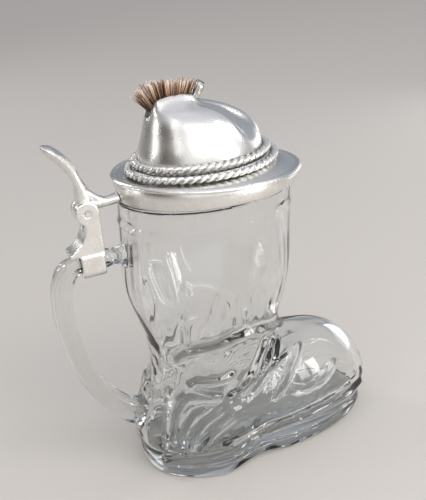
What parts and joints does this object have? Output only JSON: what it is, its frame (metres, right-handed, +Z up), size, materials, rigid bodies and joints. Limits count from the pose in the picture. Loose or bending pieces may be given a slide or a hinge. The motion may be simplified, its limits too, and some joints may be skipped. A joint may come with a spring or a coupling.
{
  "type": "beer tankard",
  "caption": "Glass beer tankard in the shape of a boot, with a loop handle and a hinged pewter lid formed as an alpine hat; a thumb lift on the hinge opens it.",
  "frame": {"origin": "middle of the bounding box on the table plane, under the sole", "axes": "+X towards the toe, -X towards the handle, +Z up, the middle plane is Y = 0"},
  "size_m": [0.17, 0.0982, 0.206],
  "materials": {
    "clear_glass": "pressed clear soda-lime glass, fire polished",
    "pewter": "cast pewter, polished bright",
    "pin_steel": "drawn steel pin, ground flush",
    "bristle": "stiff natural bristle with pale tips and dark roots"
  },
  "bodies": {
    "tankard": {"glass_boot": "clear_glass", "glass_handle": "clear_glass", "handle_strap": "pewter", "hinge_pin": "pin_steel"},
    "lid": {"thumb_lift": "pewter", "lid_rim": "pewter", "hat_shell": "pewter", "hat_cord_lower": "pewter", "hat_cord_upper": "pewter", "tuft_clip": "pewter", "tuft_bristles": "bristle"}
  },
  "joints": [
    {"name": "lid_hinge", "type": "hinge", "parent": "tankard", "child": "lid", "pos_m": [-0.05995, 0, 0.1492], "axis": [0, -1, 0], "range_deg": [0, 105]}
  ]
}
